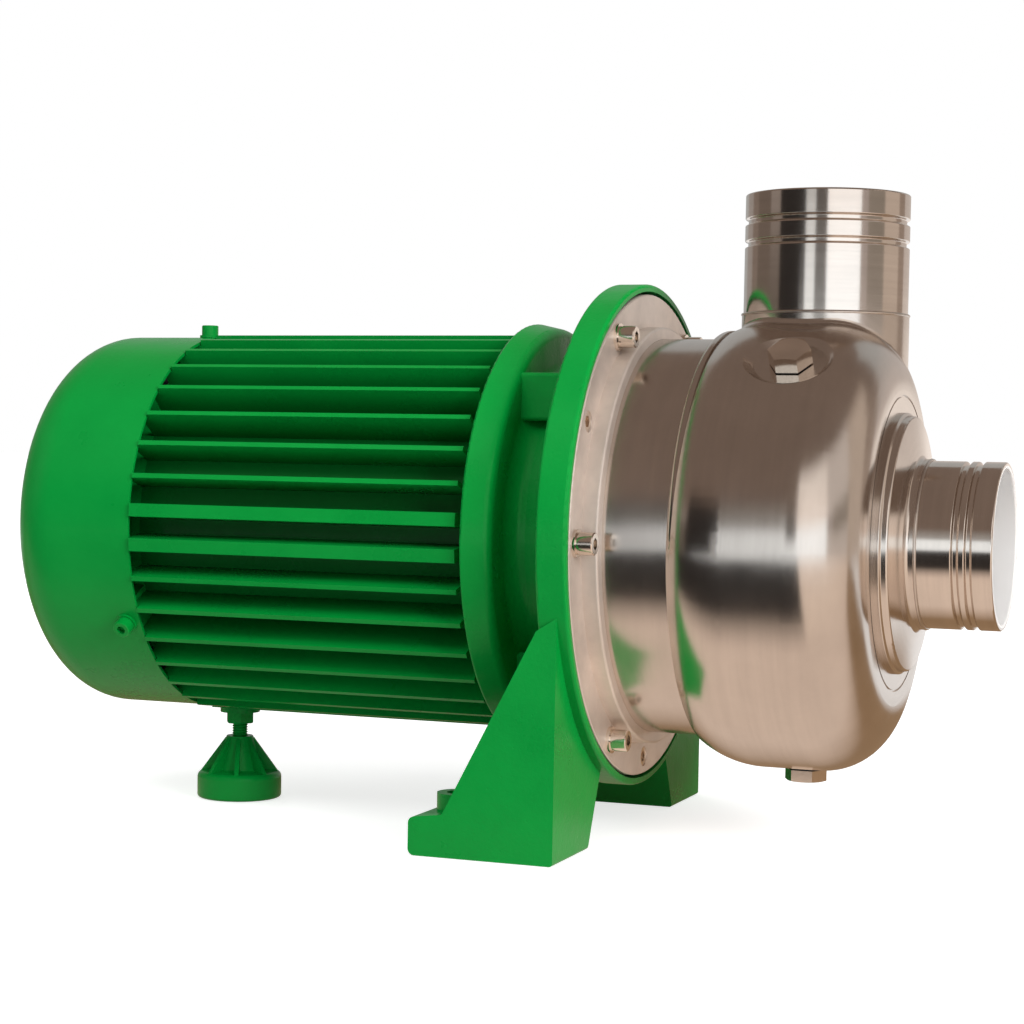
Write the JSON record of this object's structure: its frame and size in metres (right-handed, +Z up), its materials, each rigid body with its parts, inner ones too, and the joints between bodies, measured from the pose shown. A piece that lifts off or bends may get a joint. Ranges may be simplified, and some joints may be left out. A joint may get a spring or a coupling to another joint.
{
  "type": "centrifugal pump",
  "caption": "Close-coupled centrifugal pump: pressed steel volute with grooved suction and discharge stubs, open impeller, cast bracket, finned motor and levelling foot.",
  "frame": {"origin": "on the base plane, midway between the two foot bolt holes, under the shaft axis", "axes": "+X along the shaft towards the suction stub, +Z up along the discharge stub, +Y to the terminal box side"},
  "size_m": [0.4706, 0.2528, 0.3],
  "materials": {
    "green_cast": "gloss paint over a cast surface",
    "green_paint": "smooth gloss paint",
    "stainless": "satin, finely brushed around the axis",
    "blasted_plate": "bead blasted, pale and matt",
    "stainless_small": "machined",
    "zinc_small": "zinc plated",
    "black_screw": "set screws with sockets",
    "impeller_cast": "investment cast, satin",
    "rubber": "matt black",
    "seal_ceramic": "glazed ceramic",
    "seal_carbon": "lapped carbon",
    "shaft_steel": "ground",
    "bearing_steel": "polished",
    "lamination": "stacked sheet",
    "copper": "varnished copper wire",
    "fan_plastic": "moulded",
    "black_plastic": "moulded",
    "brass": "machined"
  },
  "bodies": {
    "pump": {"bracket": "green_cast", "casing_barrel": "stainless", "casing_o_ring": "rubber", "casing_plate": "blasted_plate", "casing_shell": "stainless", "cowl_screws": "green_paint", "cowl_washers": "green_paint", "discharge_stub": "stainless", "drain_gasket": "rubber", "fan_cowl": "green_paint", "filler_boss": "stainless", "filler_gasket": "rubber", "front_outer_race": "bearing_steel", "gland_body": "black_plastic", "gland_nut": "black_plastic", "gland_seal": "rubber", "jack_screws": "black_screw", "joint_screws": "stainless_small", "joint_spring_washers": "stainless_small", "joint_washers": "stainless_small", "motor_frame": "green_paint", "rear_outer_race": "bearing_steel", "rear_shield": "green_paint", "seal_cover": "stainless", "seal_seat_cup": "rubber", "seal_seat_ring": "seal_ceramic", "stator_core": "lamination", "stator_windings": "copper", "suction_ring": "stainless", "suction_stub": "stainless", "terminal_board": "black_plastic", "terminal_box": "green_paint", "terminal_gasket": "rubber", "terminal_lid": "green_paint", "terminal_screws": "stainless_small", "terminal_studs": "brass", "tie_rods": "zinc_small", "wave_washer": "shaft_steel", "wear_plate": "stainless"},
    "rotor": {"motor_shaft": "shaft_steel", "rotor_core": "lamination", "front_inner_race": "bearing_steel", "rear_inner_race": "bearing_steel", "slinger": "rubber", "fan": "fan_plastic", "impeller": "impeller_cast", "impeller_key": "stainless_small", "impeller_washer": "stainless_small", "impeller_nut": "stainless_small", "seal_face_ring": "seal_carbon", "seal_bellows": "rubber", "seal_spring": "stainless_small", "seal_collar": "stainless_small"},
    "front_ball_set": {"front_balls": "bearing_steel"},
    "rear_ball_set": {"rear_balls": "bearing_steel"},
    "filler_plug": {"filler_plug": "stainless_small"},
    "drain_plug": {"drain_plug": "stainless_small"},
    "levelling_screw": {"foot_screw": "green_paint"},
    "levelling_foot": {"foot_base": "green_cast"},
    "lock_nut": {"foot_lock_nut": "green_paint"}
  },
  "joints": [
    {"name": "rotor_spin", "type": "hinge", "parent": "pump", "child": "rotor", "pos_m": [0, 0, 0.14], "axis": [1, 0, 0], "continuous": true},
    {"name": "front_balls_spin", "type": "hinge", "parent": "pump", "child": "front_ball_set", "pos_m": [0, 0, 0.14], "axis": [1, 0, 0], "continuous": true},
    {"name": "rear_balls_spin", "type": "hinge", "parent": "pump", "child": "rear_ball_set", "pos_m": [0, 0, 0.14], "axis": [1, 0, 0], "continuous": true},
    {"name": "filler_plug_unscrew", "type": "slide", "parent": "pump", "child": "filler_plug", "axis": [0, -0.5736, 0.8192], "range_m": [0, 0.012]},
    {"name": "drain_plug_unscrew", "type": "slide", "parent": "pump", "child": "drain_plug", "axis": [0, 0, -1], "range_m": [0, 0.012]},
    {"name": "levelling_travel", "type": "slide", "parent": "pump", "child": "levelling_screw", "axis": [0, 0, 1], "range_m": [-0.008, 0.0035]},
    {"name": "levelling_swivel", "type": "hinge", "parent": "levelling_screw", "child": "levelling_foot", "pos_m": [-0.1557, 0, 0], "axis": [0, 0, 1], "continuous": true},
    {"name": "lock_nut_travel", "type": "slide", "parent": "pump", "child": "lock_nut", "axis": [0, 0, -1], "range_m": [0, 0.0015]}
  ],
  "couplings": [
    {"joint": "front_balls_spin", "follows": "rotor_spin", "ratio": 0.4},
    {"joint": "rear_balls_spin", "follows": "rotor_spin", "ratio": 0.4}
  ]
}
